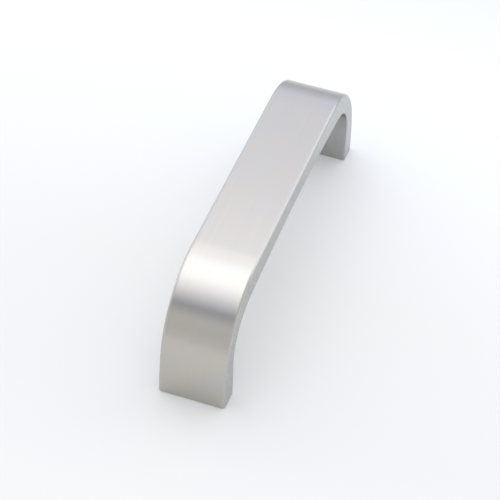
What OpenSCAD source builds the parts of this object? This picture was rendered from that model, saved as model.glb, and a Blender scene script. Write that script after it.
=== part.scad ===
// Bow-shaped door pull: a slice of extruded bar with a flat top, an arched underside and two flat feet.
// Millimetres. X runs along the pull, Y across it, and the feet stand on the door's face at z = 0.

/* [Fixing] */
// Distance between the two fixing holes, centre to centre
hole_spacing = 128; // [96:32:224]
// Tapping drill of the fixing holes (3.3 for an M4 thread)
tap_d = 3.3; // [2.5:0.1:4.2]
// Depth of the fixing holes at full diameter
hole_depth = 12; // [8:0.5:14]
// Diameter of the countersink at the mouth of a hole
sink_d = 4.4; // [4.3:0.1:5.5]
// Included angle of the drill's point, in degrees
drill_point = 118; // [90:1:140]

/* [Bar] */
// Width of the bar, across the pull
width = 23; // [12:0.5:40]
// Height of the top face above the door
height = 40.5; // [36:0.5:60]
// Thickness of the bar at mid length, where it is thinnest
bar_t = 7.4; // [5:0.1:12]
// Slope of the arched underside where it runs into the inner bends, in degrees
arch_slope = 6; // [3:0.5:9]

/* [Bends] */
// Radius of the outer bends
bend_r_out = 28; // [18:0.5:32]
// Radius of the inner bends
bend_r_in = 15.5; // [10:0.5:20]

/* [Legs] */
// Thickness of a leg at its foot
foot_t = 7.8; // [6.5:0.1:10]
// Radius of the outer face of a leg
leg_r = 80; // [60:1:200]
// Lean of a leg's outer face where it runs into the outer bend, in degrees
leg_lean = 11; // [8:0.5:18]

/* [Edges] */
// Radius of the long edges outside the bow
edge_r_out = 1.2; // [0.3:0.1:2]
// Radius of the long edges inside the bow
edge_r_in = 0.5; // [0.2:0.1:1.2]

/* [Hidden] */
$fn = 240;
satin = [0.80, 0.80, 0.82];

// The bar is a core inside a rim. The rim carries the faces and their rounded edges and goes this
// much deeper than the rounding, and the core begins half of the way into that
rim_web = 1.5;
core_web = rim_web / 2;
// Angle between the core's points along a bend
core_step = 5;
// Length that the legs are drawn past their feet, before the feet are cut flat
foot_over = 3;

function micron(v) = round(v * 1000) / 1000;

// Outside of the side profile: flat top, outer bend, leg, each running smoothly into the next
length = hole_spacing + foot_t;
leg_offset = leg_r - bend_r_out;
bend_out_z = height - bend_r_out;
leg_z = bend_out_z - leg_offset * sin(leg_lean);
leg_x = sqrt(leg_r * leg_r - leg_z * leg_z) - length / 2;
bend_out_x = micron(leg_x - leg_offset * cos(leg_lean));
bend_out = [bend_out_x, bend_out_z];
leg_centre = bend_out + leg_offset * [cos(leg_lean), -sin(leg_lean)];
leg_sweep = ceil(leg_lean + asin((leg_z + foot_over) / leg_r));

// Inside of the side profile: one shallow arch, inner bend, upright leg
leg_in_x = foot_t - length / 2;
arch_r = micron(bend_r_in - (leg_in_x + bend_r_in) / sin(arch_slope));
arch_centre = [0, height - bar_t - arch_r];
bend_in = arch_centre + (arch_r - bend_r_in) * [-sin(arch_slope), cos(arch_slope)];
leg_in_drop = ceil(bend_in.y) + foot_over;

// Stand on a point of the side profile, in two moves that keep its last decimals
module at_profile(point) {
    coarse = [micron(point.x), 0, micron(point.y)];
    translate(coarse)
        translate([point.x, 0, point.y] - coarse)
            children();
}

// Section of the rim: its face on x = 0, the metal behind it, the face's two corners rounded
module rim_section(edge_r) {
    rim_d = edge_r + rim_web;
    translate([-rim_d, -width / 2])
        square([rim_web, width]);
    translate([-rim_d, edge_r - width / 2])
        square([rim_d, width - 2 * edge_r]);
    for (side = [-1, 1])
        translate([-edge_r, side * (width / 2 - edge_r)])
            circle(edge_r, $fn = 48);
}

// Rim that turns about a point of the profile, from the angle start
module rim_arc(centre, radius, start, sweep)
    at_profile(centre)
        rotate([90, 0, 0])
            rotate_extrude(angle = sweep, start = start)
                translate([radius, 0])
                    children();

module outer_arc(centre, radius, start, sweep)
    rim_arc(centre, radius, start, sweep)
        rim_section(edge_r_out);

module inner_arc(centre, radius, start, sweep)
    rim_arc(centre, radius, start, sweep)
        mirror([1, 0])
            rim_section(edge_r_in);

module top_rim()
    translate([0, 0, height])
        rotate([0, -90, 0])
            linear_extrude(-2 * bend_out_x, center = true)
                rim_section(edge_r_out);

module arch_rim()
    inner_arc(arch_centre, arch_r, 90 - arch_slope, 2 * arch_slope);

// Outer bend and leg, inner bend and leg, at one end of the pull
module end_rims() {
    outer_arc(bend_out, bend_r_out, 90, 90 - leg_lean);
    outer_arc(leg_centre, leg_r, 180 - leg_lean, leg_sweep);
    inner_arc(bend_in, bend_r_in, 90 + arch_slope, 90 - arch_slope);
    at_profile(bend_in)
        translate([-bend_r_in, 0, -leg_in_drop])
            linear_extrude(leg_in_drop)
                rim_section(edge_r_in);
}

function arc_points(centre, radius, from, to) =
    let (steps = ceil(abs(to - from) / core_step))
    [
        for (i = [0:steps])
            let (angle = from + (to - from) * i / steps)
            centre + radius * [cos(angle), sin(angle)]
    ];

function mirrored(points) = [for (i = [len(points) - 1:-1:0]) [-points[i].x, points[i].y]];

// Middle of the bar, with its sides flush and its outline hidden in the rims
module core() {
    out_d = edge_r_out + core_web;
    in_d = edge_r_in + core_web;
    outside = concat(
        arc_points(leg_centre, leg_r - out_d, 180 - leg_lean + leg_sweep, 180 - leg_lean),
        arc_points(bend_out, bend_r_out - out_d, 180 - leg_lean, 90)
    );
    inside = concat(
        arc_points(arch_centre, arch_r + in_d, 90, 90 + arch_slope),
        arc_points(bend_in, bend_r_in + in_d, 90 + arch_slope, 180),
        [[bend_in.x - bend_r_in - in_d, -foot_over]]
    );
    rotate([90, 0, 0])
        linear_extrude(width, center = true)
            polygon(concat(outside, mirrored(outside), mirrored(inside), inside));
}

// Drilled hole, upwards from the foot, with its countersink and the drill's point
module fixing_hole() {
    sink_h = (sink_d - tap_d) / 2;
    point_h = tap_d / 2 / tan(drill_point / 2);
    translate([0, 0, -foot_over])
        cylinder(d = tap_d, h = hole_depth + foot_over);
    cylinder(d1 = sink_d, d2 = tap_d, h = sink_h);
    translate([0, 0, hole_depth])
        cylinder(d1 = tap_d, d2 = 0, h = point_h);
}

// Everything behind the door's face
module door()
    translate([-length, -width, -length])
        cube([2 * length, 2 * width, length]);

module pull()
    color(satin)
        difference() {
            union() {
                core();
                top_rim();
                arch_rim();
                end_rims();
                mirror([1, 0, 0])
                    end_rims();
            }
            door();
            for (side = [-1, 1])
                translate([side * hole_spacing / 2, 0, 0])
                    fixing_hole();
        }

pull();
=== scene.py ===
import math

import bmesh
import bpy
from mathutils import Matrix, Vector


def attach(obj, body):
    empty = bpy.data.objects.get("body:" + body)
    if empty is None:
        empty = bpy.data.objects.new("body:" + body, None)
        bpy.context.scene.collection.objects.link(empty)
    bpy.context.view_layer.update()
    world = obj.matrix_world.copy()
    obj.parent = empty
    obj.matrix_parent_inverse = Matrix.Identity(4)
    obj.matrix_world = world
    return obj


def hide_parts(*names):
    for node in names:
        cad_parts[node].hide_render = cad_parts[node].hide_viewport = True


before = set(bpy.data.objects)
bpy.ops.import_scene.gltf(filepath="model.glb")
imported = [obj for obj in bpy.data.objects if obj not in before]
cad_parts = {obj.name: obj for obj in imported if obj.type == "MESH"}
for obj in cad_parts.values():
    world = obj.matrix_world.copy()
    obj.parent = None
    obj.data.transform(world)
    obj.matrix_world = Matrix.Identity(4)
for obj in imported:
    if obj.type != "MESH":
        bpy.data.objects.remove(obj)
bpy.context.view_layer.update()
mm = 0.001
hair = 0.01 * mm      # two places closer than this are the same
scene = bpy.context.scene
print("frame loaded:", sorted(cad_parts))


# the bow: a flat bar turned down at both ends, drawn in side view and given its width afterwards
bow = {
    "width": 23 * mm,
    "height": 40.5 * mm,
    "barThickness": 7.4 * mm,      # at mid length, where it is thinnest
    "archSlope": 6,                # degrees, where the underside runs into the inner bends
    "outerBend": 28 * mm,
    "easeRadius": 160 * mm,        # the polished top eases over into the bend
    "easeFrom": 3 * mm,            # before the bend
    "easeSweep": 1.6,              # degrees
    "innerBend": 15.5 * mm,
    "footThickness": 7.8 * mm,
    "legRadius": 80 * mm,
    "legLean": 11,                 # degrees, where the leg runs into the outer bend
    "outerEdge": 1.2 * mm,         # radius of the long edges, outside and inside the bow
    "innerEdge": 0.5 * mm,
    "footRadius": 0.25 * mm,       # the feet's own edges
    "creaseFrom": 60,              # degrees between the faces that meet in an edge to be rounded
    "sharpFrom": 35,               # degrees between faces whose edge isn't shaded smooth
    "edgeSteps": 6,
    "footSteps": 4,
    "barSteps": 18,
    "easeSteps": 5,
    "bendSteps": 44,
    "legSteps": 16,
}

# the tapped hole in each foot
fixing = {
    "spacing": 128 * mm,
    "tapRadius": 1.65 * mm,
    "threadRadius": 2.0 * mm,
    "pitch": 0.7 * mm,
    "threadStart": 0.45 * mm,
    "threadEnd": 9.6 * mm,
    "turnsBelow": 1.5,             # of thread begun under its start, and trimmed off
    "tooth": [                     # shares of its depth and pitch
        (0, 0), (0, 0.125), (1, 0.45), (1, 0.55), (0, 0.875), (0, 1),
    ],
    "weld": 0.002 * mm,            # joins one turn to the next
    "runOut": 0.3 * mm,            # from the thread's end to the plain bore
    "sinkRadius": 2.2 * mm,
    "sinkDepth": 0.2 * mm,
    "depth": 12 * mm,
    "pointDepth": 12.99 * mm,
    "pointRadius": 0.001 * mm,     # before its ring is drawn together
    "mouthSides": 64,
    "boreSides": 40,
}

halfWidth = bow["width"] / 2
halfLength = (fixing["spacing"] + bow["footThickness"]) / 2
legLean = math.radians(bow["legLean"])
archSlope = math.radians(bow["archSlope"])
fingerGap = Vector((0, 0, 0.3 * bow["height"]))    # a point that all inside faces look at
sideShare = 0.8      # share of Y in the normal of a side face
downShare = -0.99    # share of Z in the normal of a foot

# centres of the arcs, in the side view of the end at -X
bendOutZ = bow["height"] - bow["outerBend"]
legOffset = bow["legRadius"] - bow["outerBend"]
legZ = bendOutZ - legOffset * math.sin(legLean)
legX = math.sqrt(bow["legRadius"] ** 2 - legZ ** 2) - halfLength
bendOutX = legX - legOffset * math.cos(legLean)
easeX = bendOutX + bow["easeFrom"]
easeZ = bow["height"] - bow["easeRadius"]
easeSweep = math.radians(bow["easeSweep"])
# the bend that joins the ease to the leg, smooth at both ends
easeOut = Vector((-math.sin(easeSweep), math.cos(easeSweep)))
easeToLeg = Vector((easeX - legX, easeZ - legZ)) + bow["easeRadius"] * easeOut
bendRadius = ((easeToLeg.length_squared - bow["legRadius"] ** 2)
              / (2 * (easeToLeg.dot(easeOut) - bow["legRadius"])))
bendX, bendZ = Vector((legX, legZ)) + easeToLeg - bendRadius * easeOut
bendEnd = math.atan2(bendZ - legZ, legX - bendX)
bendSweep = math.pi / 2 - easeSweep - bendEnd
legSweep = bendEnd + math.asin(legZ / bow["legRadius"])
innerLegX = bow["footThickness"] - halfLength
archRadius = bow["innerBend"] - (innerLegX + bow["innerBend"]) / math.sin(archSlope)
archZ = bow["height"] - bow["barThickness"] - archRadius
bendInX = innerLegX + bow["innerBend"]
bendInZ = archZ + (archRadius - bow["innerBend"]) * math.cos(archSlope)


def distinct(items):
    # each item once, in the order they come in
    return list(dict.fromkeys(items))


def sidePoint(x, z):
    return Vector((x, -halfWidth, z))


def lineFrom(bm, start, end, steps):
    first = start.co.copy()
    last = start
    for step in range(1, steps + 1):
        last = bmesh.ops.extrude_vert_indiv(bm, verts=[last])["verts"][0]
        last.co = first.lerp(end, step / steps)
    return last


def arcFrom(bm, start, centre, sweep, steps):
    turned = bmesh.ops.spin(bm, geom=[start], cent=centre, axis=(0, 1, 0), angle=-sweep, steps=steps)
    return turned["geom_last"][0]


def drawSide(bm):
    # outside of the near half: top, ease, bend, leg
    v = bm.verts.new(sidePoint(0, bow["height"]))
    v = lineFrom(bm, v, sidePoint(easeX, bow["height"]), bow["barSteps"])
    v = arcFrom(bm, v, sidePoint(easeX, easeZ), easeSweep, bow["easeSteps"])
    v = arcFrom(bm, v, sidePoint(bendX, bendZ), bendSweep, bow["bendSteps"])
    arcFrom(bm, v, sidePoint(legX, legZ), legSweep, bow["legSteps"])
    outside = bm.edges[:]
    # inside: arch, bend, upright leg
    v = bm.verts.new(sidePoint(0, bow["height"] - bow["barThickness"]))
    v = arcFrom(bm, v, sidePoint(0, archZ), archSlope, bow["barSteps"] + bow["easeSteps"])
    v = arcFrom(bm, v, sidePoint(bendInX, bendInZ), math.pi / 2 - archSlope, bow["bendSteps"])
    lineFrom(bm, v, sidePoint(innerLegX, 0), bow["legSteps"])
    inside = [e for e in bm.edges if e not in outside]
    bmesh.ops.bridge_loops(bm, edges=outside + inside)
    everything = bm.verts[:] + bm.edges[:] + bm.faces[:]
    bmesh.ops.mirror(bm, geom=everything, axis='X', merge_dist=hair)


def giveWidth(bm):
    grown = bmesh.ops.extrude_face_region(bm, geom=bm.faces[:])
    moved = [g for g in grown["geom"] if isinstance(g, bmesh.types.BMVert)]
    bmesh.ops.translate(bm, verts=moved, vec=(0, bow["width"], 0))
    bmesh.ops.recalc_face_normals(bm, faces=bm.faces[:])


def facesInside(face):
    middle = face.calc_center_median()
    return face.normal.dot(fingerGap - middle) > 0


def roundEdges(bm):
    # the long edges; those round the feet come later
    crease = math.radians(bow["creaseFrom"])
    longEdges = [e for e in bm.edges
                 if e.calc_face_angle(0) > crease and max(v.co.z for v in e.verts) > hair]
    inner = [e for e in longEdges
             if any(facesInside(f) for f in e.link_faces if abs(f.normal.y) < sideShare)]
    outer = [e for e in longEdges if e not in inner]
    for edges, radius in ((outer, bow["outerEdge"]), (inner, bow["innerEdge"])):
        bmesh.ops.bevel(bm, geom=edges, offset=radius, offset_type='OFFSET', affect='EDGES',
                        segments=bow["edgeSteps"], profile=0.5, clamp_overlap=False, material=-1)


def ringUp(bm, edges, centre, radius, newRadius, z):
    # carry a ring of edges up the hole to a new height and radius
    grown = bmesh.ops.extrude_edge_only(bm, edges=edges)
    verts = [g for g in grown["geom"] if isinstance(g, bmesh.types.BMVert)]
    ring = [g for g in grown["geom"] if isinstance(g, bmesh.types.BMEdge)]
    size = newRadius / radius
    bmesh.ops.scale(bm, verts=verts, vec=(size, size, 1), space=Matrix.Translation(-centre))
    for v in verts:
        v.co.z = z
    return ring


def wholeOf(faces):
    edges = distinct(e for f in faces for e in f.edges)
    verts = distinct(v for f in faces for v in f.verts)
    return faces + edges + verts


def cutThread(bm, centre):
    # one turn of the tooth, stacked up the hole and trimmed level at both ends
    pitch = fixing["pitch"]
    low = fixing["threadStart"] - fixing["turnsBelow"] * pitch
    deep = fixing["threadRadius"] - fixing["tapRadius"]
    verts = [bm.verts.new(centre + Vector((fixing["tapRadius"] + deep * d, 0, low + pitch * p)))
             for d, p in fixing["tooth"]]
    edges = [bm.edges.new(pair) for pair in zip(verts, verts[1:])]
    before = set(bm.faces)
    steps = fixing["boreSides"]
    bmesh.ops.spin(bm, geom=verts + edges, cent=centre, axis=(0, 0, 1), angle=math.tau,
                   steps=steps, dvec=(0, 0, pitch / steps))
    turn = wholeOf([f for f in bm.faces if f not in before])
    for up in range(1, math.ceil((fixing["threadEnd"] - low) / pitch) + 1):
        copied = bmesh.ops.duplicate(bm, geom=turn)["geom"]
        moved = [g for g in copied if isinstance(g, bmesh.types.BMVert)]
        bmesh.ops.translate(bm, verts=moved, vec=(0, 0, up * pitch))
    faces = [f for f in bm.faces if f not in before]
    threadVerts = distinct(v for f in faces for v in f.verts)
    bmesh.ops.remove_doubles(bm, verts=threadVerts, dist=fixing["weld"])
    for z, up in ((fixing["threadStart"], -1), (fixing["threadEnd"], 1)):
        geom = wholeOf([f for f in bm.faces if f not in before])
        bmesh.ops.bisect_plane(bm, geom=geom, plane_co=(0, 0, z), plane_no=(0, 0, up),
                               clear_outer=True)
    ends = distinct(e for f in bm.faces if f not in before for e in f.edges if e.is_boundary)
    middle = (fixing["threadStart"] + fixing["threadEnd"]) / 2
    lower = [e for e in ends if e.verts[0].co.z < middle]
    upper = [e for e in ends if e.verts[0].co.z > middle]
    return lower, upper


def footFace(bm, side):
    down = [f for f in bm.faces if f.normal.z < downShare and f.calc_center_median().x * side > 0]
    return min(down, key=lambda f: f.calc_center_median().z)


def roundFoot(bm, side):
    bmesh.ops.bevel(bm, geom=footFace(bm, side).edges[:], offset=bow["footRadius"],
                    offset_type='OFFSET', affect='EDGES', segments=bow["footSteps"], profile=0.5,
                    clamp_overlap=False, material=-1)


def ringAt(bm, centre, radius, sides, z):
    made = bmesh.ops.create_circle(bm, segments=sides, radius=radius,
                                   matrix=Matrix.Translation(centre + Vector((0, 0, z))))
    return distinct(e for v in made["verts"] for e in v.link_edges)


def drillFoot(bm, side):
    centre = Vector((side * fixing["spacing"] / 2, 0, 0))
    tap = fixing["tapRadius"]
    # the foot's face again, with the mouth of the hole left open in it
    bmesh.ops.delete(bm, geom=[footFace(bm, side)], context='FACES_ONLY')
    rim = [e for e in bm.edges if e.is_boundary]
    mouth = ringAt(bm, centre, fixing["sinkRadius"], fixing["mouthSides"], 0)
    bmesh.ops.triangle_fill(bm, edges=rim + mouth, use_beauty=True)
    # countersink, thread, plain bore and the drill's point
    sink = ringUp(bm, mouth, centre, fixing["sinkRadius"], fixing["threadRadius"], fixing["sinkDepth"])
    threadLow, threadHigh = cutThread(bm, centre)
    bmesh.ops.bridge_loops(bm, edges=sink + threadLow)
    bore = ringAt(bm, centre, tap, fixing["boreSides"], fixing["threadEnd"] + fixing["runOut"])
    bmesh.ops.bridge_loops(bm, edges=threadHigh + bore)
    end = ringUp(bm, bore, centre, tap, tap, fixing["depth"])
    point = ringUp(bm, end, centre, tap, fixing["pointRadius"], fixing["pointDepth"])
    bmesh.ops.remove_doubles(bm, verts=distinct(v for e in point for v in e.verts), dist=hair)


def alongBow(co):
    # distance along the outside, from mid length, followed round the bend and down the leg
    x, z = -abs(co.x), co.z
    if x > bendOutX:
        run = -x
    else:
        turn = math.atan2(bendOutX - x, z - bendOutZ)
        straight = math.pi / 2 - legLean
        run = -bendOutX + bow["outerBend"] * min(turn, straight)
        if turn > straight:
            legTop = bendOutZ + bow["outerBend"] * math.sin(legLean)
            run += max(0, legTop - z)
    return math.copysign(run, co.x)


def mapBow(bm):
    # U runs along the bow, V across the face, both in metres
    uv = bm.loops.layers.uv.new("bowMap")
    for face in bm.faces:
        onSide = abs(face.normal.y) > sideShare
        for loop in face.loops:
            co = loop.vert.co
            loop[uv].uv = (alongBow(co), co.z if onSide else co.y)


# where the side's saw marks end on the rounded edges, as the share of Y in a face's normal
sawnEdge = {
    "bar": 0.95, "barEnd": 44 * mm,
    "bend": 0.64, "bendStart": 53 * mm,
}


def sawnFrom(x):
    toBend = (abs(x) - sawnEdge["barEnd"]) / (sawnEdge["bendStart"] - sawnEdge["barEnd"])
    toBend = min(max(toBend, 0), 1)
    return sawnEdge["bar"] + (sawnEdge["bend"] - sawnEdge["bar"]) * toBend


def finishFaces(bm):
    # brushed outside, sawn sides, machined feet and holes, plain inside darkened partly as painted
    # shade
    brushed, sawn, machined, plainShaded = range(4)
    for face in bm.faces:
        middle = face.calc_center_median()
        offAxis = math.hypot(abs(middle.x) - fixing["spacing"] / 2, middle.y)
        inHole = offAxis < fixing["sinkRadius"] and middle.z < fixing["pointDepth"]
        face.smooth = True
        if inHole or (face.normal.z < downShare and middle.z < hair):
            face.material_index = machined
        elif abs(face.normal.y) > sawnFrom(middle.x):
            face.material_index = sawn
        elif facesInside(face):
            face.material_index = plainShaded
        else:
            face.material_index = brushed


def makePull():
    bm = bmesh.new()
    drawSide(bm)
    giveWidth(bm)
    roundEdges(bm)
    for side in (-1, 1):
        roundFoot(bm, side)
        drillFoot(bm, side)
    bmesh.ops.recalc_face_normals(bm, faces=bm.faces[:])
    finishFaces(bm)
    mapBow(bm)
    openEdges = sum(not e.is_manifold for e in bm.edges)
    mesh = bpy.data.meshes.new("pull_bow")
    bm.to_mesh(mesh)
    bm.free()
    mesh.set_sharp_from_angle(angle=math.radians(bow["sharpFrom"]))
    pull = bpy.data.objects.new("pull_bow", mesh)
    scene.collection.objects.link(pull)
    weighted = pull.modifiers.new("faceNormals", 'WEIGHTED_NORMAL')
    weighted.keep_sharp = True
    weighted.weight = 100
    print("pull:", len(mesh.polygons), "faces,", openEdges, "open edges")
    return pull


def addNode(tree, kind, at=(0, 0), **settings):
    node = tree.nodes.new(kind)
    node.location = at
    for name, value in settings.items():
        setattr(node, name, value)
    return node


def setRamp(node, stops):
    elements = node.color_ramp.elements
    for at, colour in stops[1:-1]:
        elements.new(at).color = (*colour, 1)
    for element, (at, colour) in ((elements[0], stops[0]), (elements[-1], stops[-1])):
        element.position = at
        element.color = (*colour, 1)


# what all four finishes share
metal = {
    "streakDetail": 5, "streakRoughness": 0.65,
    "cloudScale": 90, "cloudDetail": 2,
    "toneSpan": (0.3, 0.7),        # of the streaks and of the clouds, from one colour to the other
    "tintSpan": (0.35, 0.65),
    "reliefDepth": 0.01 * mm,
    "glossTurn": 0.25,             # of a turn: the gloss spreads across the brushing
}


def makeGrainGroup():
    # streaks drawn out along the first axis, and soft clouds for the larger variation
    group = bpy.data.node_groups.new("metalGrain", 'ShaderNodeTree')
    for name, kind in (("Vector", 'NodeSocketVector'), ("Along", 'NodeSocketFloat'),
                       ("Across", 'NodeSocketFloat')):
        group.interface.new_socket(name, in_out='INPUT', socket_type=kind)
    for name in ("Streaks", "Clouds"):
        group.interface.new_socket(name, in_out='OUTPUT', socket_type='NodeSocketFloat')
    inside = addNode(group, 'NodeGroupInput', (-600, 0))
    outside = addNode(group, 'NodeGroupOutput', (600, 0))
    frequency = addNode(group, 'ShaderNodeCombineXYZ', (-400, -150))
    drawn = addNode(group, 'ShaderNodeVectorMath', (-200, 0), operation='MULTIPLY')
    streaks = addNode(group, 'ShaderNodeTexNoise', (0, 100))
    streaks.inputs["Scale"].default_value = 1
    streaks.inputs["Detail"].default_value = metal["streakDetail"]
    streaks.inputs["Roughness"].default_value = metal["streakRoughness"]
    clouds = addNode(group, 'ShaderNodeTexNoise', (0, -200))
    clouds.inputs["Scale"].default_value = metal["cloudScale"]
    clouds.inputs["Detail"].default_value = metal["cloudDetail"]
    group.links.new(inside.outputs["Along"], frequency.inputs["X"])
    group.links.new(inside.outputs["Across"], frequency.inputs["Y"])
    group.links.new(inside.outputs["Across"], frequency.inputs["Z"])
    group.links.new(inside.outputs["Vector"], drawn.inputs[0])
    group.links.new(frequency.outputs["Vector"], drawn.inputs[1])
    group.links.new(drawn.outputs["Vector"], streaks.inputs["Vector"])
    group.links.new(inside.outputs["Vector"], clouds.inputs["Vector"])
    group.links.new(streaks.outputs["Fac"], outside.inputs["Streaks"])
    group.links.new(clouds.outputs["Fac"], outside.inputs["Clouds"])
    return group


def makeMetal(name, grain, look):
    material = bpy.data.materials.new(name)
    material.use_nodes = True
    tree = material.node_tree
    links = tree.links
    shader = tree.nodes["Principled BSDF"]
    shader.inputs["Metallic"].default_value = 1
    shader.inputs["Specular Tint"].default_value = (*look["grazing"], 1)
    shader.inputs["Anisotropic"].default_value = look["anisotropic"]
    shader.inputs["Anisotropic Rotation"].default_value = metal["glossTurn"]
    coords = addNode(tree, 'ShaderNodeTexCoord', (-1100, 0))
    turned = addNode(tree, 'ShaderNodeMapping', (-900, 0))
    turned.inputs["Rotation"].default_value = look["turn"]
    lines = addNode(tree, 'ShaderNodeGroup', (-700, 0), node_tree=grain)
    lines.inputs["Along"].default_value = look["along"]
    lines.inputs["Across"].default_value = look["across"]
    links.new(coords.outputs[look["coords"]], turned.inputs["Vector"])
    links.new(turned.outputs["Vector"], lines.inputs["Vector"])
    # tone, gloss and relief follow the streaks, and the tint follows the clouds
    tone = addNode(tree, 'ShaderNodeValToRGB', (-450, 300))
    setRamp(tone, list(zip(metal["toneSpan"], (look["dark"], look["pale"]))))
    tint = addNode(tree, 'ShaderNodeValToRGB', (-450, 550))
    setRamp(tint, list(zip(metal["tintSpan"], (look["cool"], look["warm"]))))
    colour = addNode(tree, 'ShaderNodeMix', (-150, 400), data_type='RGBA', blend_type='MULTIPLY')
    colour.inputs["Factor"].default_value = 1
    gloss = addNode(tree, 'ShaderNodeMapRange', (-450, 0))
    gloss.inputs["To Min"].default_value = look["roughness"][0]
    gloss.inputs["To Max"].default_value = look["roughness"][1]
    relief = addNode(tree, 'ShaderNodeBump', (-450, -250))
    relief.inputs["Strength"].default_value = look["relief"]
    relief.inputs["Distance"].default_value = metal["reliefDepth"]
    links.new(lines.outputs["Streaks"], tone.inputs["Fac"])
    links.new(lines.outputs["Streaks"], gloss.inputs["Value"])
    links.new(lines.outputs["Streaks"], relief.inputs["Height"])
    links.new(lines.outputs["Clouds"], tint.inputs["Fac"])
    links.new(tone.outputs["Color"], colour.inputs["A"])
    links.new(tint.outputs["Color"], colour.inputs["B"])
    links.new(colour.outputs["Result"], shader.inputs["Base Color"])
    links.new(gloss.outputs["Result"], shader.inputs["Roughness"])
    links.new(relief.outputs["Normal"], shader.inputs["Normal"])
    if look["anisotropic"]:
        tangent = addNode(tree, 'ShaderNodeTangent', (-450, -450), direction_type='UV_MAP',
                          uv_map="bowMap")
        links.new(tangent.outputs["Tangent"], shader.inputs["Tangent"])
    return material


# brushed along the bow
brushedLook = {
    "coords": "UV", "turn": (0, 0, 0), "along": 14, "across": 1100,
    "dark": (0.532, 0.508, 0.467), "pale": (0.548, 0.523, 0.482),
    "cool": (0.975, 0.985, 1.0), "warm": (1.0, 0.985, 0.965), "grazing": (0.85, 0.85, 0.86),
    "roughness": (0.20, 0.22), "relief": 0.015, "anisotropic": 0.7,
}
# saw marks that slope down towards the far end
sawnLook = {
    "coords": "Object", "turn": (0, math.radians(-52), 0), "along": 70, "across": 2300,
    "dark": (0.474, 0.474, 0.46), "pale": (0.612, 0.613, 0.594),
    "cool": (0.965, 0.985, 1.0), "warm": (0.99, 1.0, 0.97), "grazing": (0.89, 0.89, 0.89),
    "roughness": (0.28, 0.35), "relief": 0.08, "anisotropic": 0,
}
# turned and drilled: the feet and the holes
machinedLook = {
    "coords": "Object", "turn": (0, 0, math.radians(15)), "along": 200, "across": 3500,
    "dark": (0.48, 0.48, 0.475), "pale": (0.58, 0.58, 0.575),
    "cool": (0.97, 0.985, 1.0), "warm": (1.0, 0.99, 0.97), "grazing": (0.9, 0.9, 0.9),
    "roughness": (0.22, 0.34), "relief": 0.15, "anisotropic": 0,
}
# as extruded: faint lines across the width, where no belt reaches; its tone is darker than the
# outside, partly as painted shade under the bow
insideShadedLook = {
    "coords": "UV", "turn": (0, 0, 0), "along": 2200, "across": 40,
    # darker than the outside: partly the plainer finish, partly painted shade under the bow
    "dark": (0.455, 0.455, 0.442), "pale": (0.485, 0.485, 0.472),
    "cool": (0.975, 0.985, 1.0), "warm": (1.0, 0.985, 0.97), "grazing": (0.88, 0.88, 0.88),
    "roughness": (0.27, 0.35), "relief": 0.1, "anisotropic": 0,
}

pull = makePull()
grain = makeGrainGroup()
for name, look in (("brushedFace", brushedLook), ("sawnSide", sawnLook),
                   ("machinedFoot", machinedLook), ("plainInsidePaintedShade", insideShadedLook)):
    pull.data.materials.append(makeMetal(name, grain, look))
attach(pull, "root")
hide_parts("pull")
print("materials:", [m.name for m in pull.data.materials])


# floor: pale paper with light and shade painted into its tone along the pull: painted falloff that
# darkens it far off at both ends, a painted shadow just before the near foot, a painted pool of light
# just beyond the far foot, and a warm tint on the near side painted as warm light there
paper = {
    "size": 3.0,
    "gap": 0.02 * mm,              # under the feet
    "roughness": 0.9, "specular": 0.1,
    "reach": 0.8,                  # metres to either end over which the painted light and shade are spread
    "paintedLightTones": [
        # painted falloff: the paper darkens far off towards both ends, warm on the near side as
        # painted warm light
        (0.25, (0.67, 0.655, 0.626)),
        (0.43, (0.765, 0.748, 0.715)),
        # a painted shadow just before the near foot
        (0.455, (0.74, 0.729, 0.705)),
        (0.495, (0.765, 0.748, 0.715)),
        # a painted pool of light just beyond the far foot
        (0.555, (0.82, 0.82, 0.82)),
        (0.58, (0.82, 0.82, 0.82)),
        (0.65, (0.69, 0.69, 0.69)),
        (0.73, (0.64, 0.64, 0.64)),
        (1, (0.56, 0.56, 0.56)),
    ],
    "whiteShare": 0.12,
}


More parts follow.
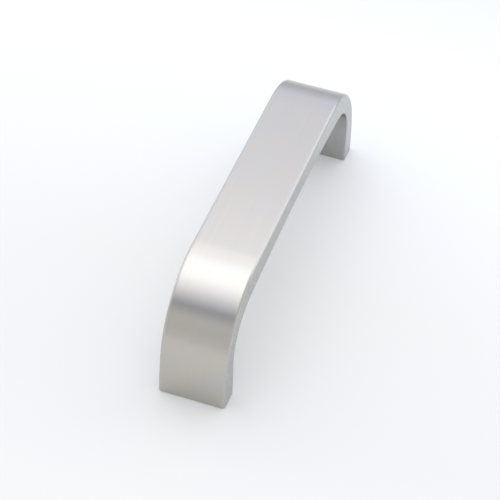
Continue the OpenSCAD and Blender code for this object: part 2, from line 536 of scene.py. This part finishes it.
def makeFloor():
    bm = bmesh.new()
    bmesh.ops.create_grid(bm, x_segments=1, y_segments=1, size=paper["size"])
    bmesh.ops.translate(bm, verts=bm.verts[:], vec=(0, 0, -paper["gap"]))
    mesh = bpy.data.meshes.new("floor")
    bm.to_mesh(mesh)
    bm.free()
    floor = bpy.data.objects.new("floor", mesh)
    scene.collection.objects.link(floor)
    material = bpy.data.materials.new("paperWithPaintedLight")
    material.use_nodes = True
    tree = material.node_tree
    shader = tree.nodes["Principled BSDF"]
    shader.inputs["Roughness"].default_value = paper["roughness"]
    shader.inputs["Specular IOR Level"].default_value = paper["specular"]
    coords = addNode(tree, 'ShaderNodeTexCoord', (-900, 0))
    axes = addNode(tree, 'ShaderNodeSeparateXYZ', (-700, 0))
    length = addNode(tree, 'ShaderNodeMapRange', (-550, 0))
    length.inputs["From Min"].default_value = -paper["reach"]
    length.inputs["From Max"].default_value = paper["reach"]
    # the paper's tone along the pull, with its painted light and shade
    paintedLightAlong = addNode(tree, 'ShaderNodeValToRGB', (-400, 0))
    setRamp(paintedLightAlong, paper["paintedLightTones"])
    tree.links.new(coords.outputs["Object"], axes.inputs["Vector"])
    tree.links.new(axes.outputs["X"], length.inputs["Value"])
    tree.links.new(length.outputs["Result"], paintedLightAlong.inputs["Fac"])
    tree.links.new(paintedLightAlong.outputs["Color"], shader.inputs["Base Color"])
    # a share of plain white, for the camera and in the metal only
    rays = addNode(tree, 'ShaderNodeLightPath', (-500, 500))
    seen = addNode(tree, 'ShaderNodeMath', (-300, 500), operation='MAXIMUM')
    seenOrPassed = addNode(tree, 'ShaderNodeMath', (-100, 500), operation='MAXIMUM')
    whiteShare = addNode(tree, 'ShaderNodeMath', (100, 500), operation='MULTIPLY')
    whiteShare.inputs[1].default_value = paper["whiteShare"]
    white = addNode(tree, 'ShaderNodeEmission', (100, -100))
    mixed = addNode(tree, 'ShaderNodeMixShader', (350, 100))
    tree.links.new(rays.outputs["Is Camera Ray"], seen.inputs[0])
    tree.links.new(rays.outputs["Is Glossy Ray"], seen.inputs[1])
    tree.links.new(seen.outputs["Value"], seenOrPassed.inputs[0])
    tree.links.new(rays.outputs["Is Transmission Ray"], seenOrPassed.inputs[1])
    tree.links.new(seenOrPassed.outputs["Value"], whiteShare.inputs[0])
    tree.links.new(whiteShare.outputs["Value"], mixed.inputs[0])
    tree.links.new(shader.outputs["BSDF"], mixed.inputs[1])
    tree.links.new(white.outputs["Emission"], mixed.inputs[2])
    tree.links.new(mixed.outputs["Shader"], tree.nodes["Material Output"].inputs["Surface"])
    mesh.materials.append(material)
    return floor


# studio: an arch of light over the pull, brightest above it, closed at its two ends along Y,
# with a soft panel by the pull's visible side
studio = {
    "strength": 2.2,
    "arch": [                      # degrees over the pull, from the far horizon to the near one
        (0, (0.35, 0.369, 0.424)),
        (10, (0.386, 0.412, 0.484)),
        (25, (0.485, 0.524, 0.622)),
        (41, (0.487, 0.514, 0.598)),
        (44.3, (0.494, 0.508, 0.566)),
        (46.3, (0.70, 0.695, 0.748)),
        (48, (0.80, 0.809, 0.859)),
        (54, (0.76, 0.78, 0.82)),
        (62, (0.832, 0.855, 0.909)),
        (70, (0.882, 0.911, 0.973)),
        (92, (0.882, 0.911, 0.973)),
        (100, (0.782, 0.809, 0.861)),
        (110, (0.645, 0.665, 0.71)),
        (118, (0.507, 0.523, 0.568)),
        (134, (0.223, 0.232, 0.267)),
        (140, (0.259, 0.27, 0.285)),
        (150, (0.35, 0.358, 0.362)),
        (166, (0.341, 0.342, 0.345)),
        (180, (0.368, 0.365, 0.365)),
    ],
    "nearEnd": (0.365, 0.37, 0.385),
    "farEnd": [                    # by the share of X in the direction
        (-0.2, (0.375, 0.385, 0.41)),
        (0.1, (0.66, 0.69, 0.75)),
    ],
    "nearFrom": (-0.22, -0.6),     # share of Y in the direction, where an end begins and is full
    "farFrom": (0.35, 0.75),
    "panel": (0.68, 0.715, 0.80),
    "panelAt": (0.675, -0.63, 0.384),
    "panelReach": (26, 8),         # degrees from its middle, at its edge and where it is full
}


def lightStudio():
    world = bpy.data.worlds.new("studio")
    scene.world = world
    world.use_nodes = True
    tree = world.node_tree
    links = tree.links
    sky = tree.nodes["Background"]
    sky.inputs["Strength"].default_value = studio["strength"]
    coords = addNode(tree, 'ShaderNodeTexCoord', (-1100, 0))
    axes = addNode(tree, 'ShaderNodeSeparateXYZ', (-900, 0))
    over = addNode(tree, 'ShaderNodeMath', (-700, 100), operation='ARCTAN2')
    halfTurn = addNode(tree, 'ShaderNodeMath', (-550, 100), operation='DIVIDE')
    halfTurn.inputs[1].default_value = math.pi
    arch = addNode(tree, 'ShaderNodeValToRGB', (-400, 100))
    setRamp(arch, [(degrees / 180, colour) for degrees, colour in studio["arch"]])
    depth = addNode(tree, 'ShaderNodeMapRange', (-550, -650))
    depth.inputs["From Min"].default_value = -1
    sideways = addNode(tree, 'ShaderNodeValToRGB', (-400, -150))
    sideways.color_ramp.interpolation = 'EASE'
    none, whole = (0, 0, 0), (1, 1, 1)
    setRamp(sideways, [((1 + y) / 2, amount) for y, amount in (
        (studio["nearFrom"][1], whole), (studio["nearFrom"][0], none),
        (studio["farFrom"][0], none), (studio["farFrom"][1], whole))])
    length = addNode(tree, 'ShaderNodeMapRange', (-550, -900))
    length.inputs["From Min"].default_value = -1
    behind = addNode(tree, 'ShaderNodeValToRGB', (-400, -900))
    setRamp(behind, [((1 + x) / 2, colour) for x, colour in studio["farEnd"]])
    ends = addNode(tree, 'ShaderNodeMix', (-250, -650), data_type='RGBA')
    ends.inputs["A"].default_value = (*studio["nearEnd"], 1)
    withEnds = addNode(tree, 'ShaderNodeMix', (-100, 0), data_type='RGBA')
    near = addNode(tree, 'ShaderNodeVectorMath', (-700, -400), operation='DOT_PRODUCT')
    near.inputs[1].default_value = Vector(studio["panelAt"]).normalized()
    glow = addNode(tree, 'ShaderNodeMapRange', (-550, -400), interpolation_type='SMOOTHSTEP')
    edge, full = (math.cos(math.radians(reach)) for reach in studio["panelReach"])
    glow.inputs["From Min"].default_value = edge
    glow.inputs["From Max"].default_value = full
    withPanel = addNode(tree, 'ShaderNodeMix', (100, -100), data_type='RGBA')
    withPanel.inputs["B"].default_value = (*studio["panel"], 1)
    links.new(coords.outputs["Generated"], axes.inputs["Vector"])
    links.new(axes.outputs["Z"], over.inputs[0])
    links.new(axes.outputs["X"], over.inputs[1])
    links.new(over.outputs["Value"], halfTurn.inputs[0])
    links.new(halfTurn.outputs["Value"], arch.inputs["Fac"])
    links.new(axes.outputs["Y"], depth.inputs["Value"])
    links.new(depth.outputs["Result"], sideways.inputs["Fac"])
    links.new(sideways.outputs["Color"], withEnds.inputs["Factor"])
    links.new(axes.outputs["X"], length.inputs["Value"])
    links.new(length.outputs["Result"], behind.inputs["Fac"])
    links.new(depth.outputs["Result"], ends.inputs["Factor"])
    links.new(behind.outputs["Color"], ends.inputs["B"])
    links.new(arch.outputs["Color"], withEnds.inputs["A"])
    links.new(ends.outputs["Result"], withEnds.inputs["B"])
    links.new(coords.outputs["Generated"], near.inputs[0])
    links.new(near.outputs["Value"], glow.inputs["Value"])
    links.new(glow.outputs["Result"], withPanel.inputs["Factor"])
    links.new(withEnds.outputs["Result"], withPanel.inputs["A"])
    links.new(withPanel.outputs["Result"], sky.inputs["Color"])


# the photograph's viewpoint
viewpoint = {
    "azimuth": -72.35, "elevation": 44.80, "roll": 2.585,
    "distance": 686.2 * mm, "lens": 144.88, "sensor": 36, "clipStart": 10 * mm,
    "lookAt": (0, 0, 16 * mm), "slide": (-4.10 * mm, -7.39 * mm),
}


def placeCamera():
    azimuth = math.radians(viewpoint["azimuth"])
    elevation = math.radians(viewpoint["elevation"])
    roll = math.radians(viewpoint["roll"])
    level = math.cos(elevation)
    back = Vector((math.sin(azimuth) * level, -math.cos(azimuth) * level, math.sin(elevation)))
    turn = back.to_track_quat('Z', 'Y').to_matrix() @ Matrix.Rotation(roll, 3, 'Z')
    slide = turn @ Vector((*viewpoint["slide"], 0))
    data = bpy.data.cameras.new("camera")
    data.lens = viewpoint["lens"]
    data.sensor_width = viewpoint["sensor"]
    data.clip_start = viewpoint["clipStart"]
    camera = bpy.data.objects.new("camera", data)
    camera.matrix_world = turn.to_4x4()
    camera.location = Vector(viewpoint["lookAt"]) + slide + viewpoint["distance"] * back
    scene.collection.objects.link(camera)
    scene.camera = camera


makeFloor()
lightStudio()
placeCamera()
scene.view_settings.view_transform = 'Standard'
print("stage ready")
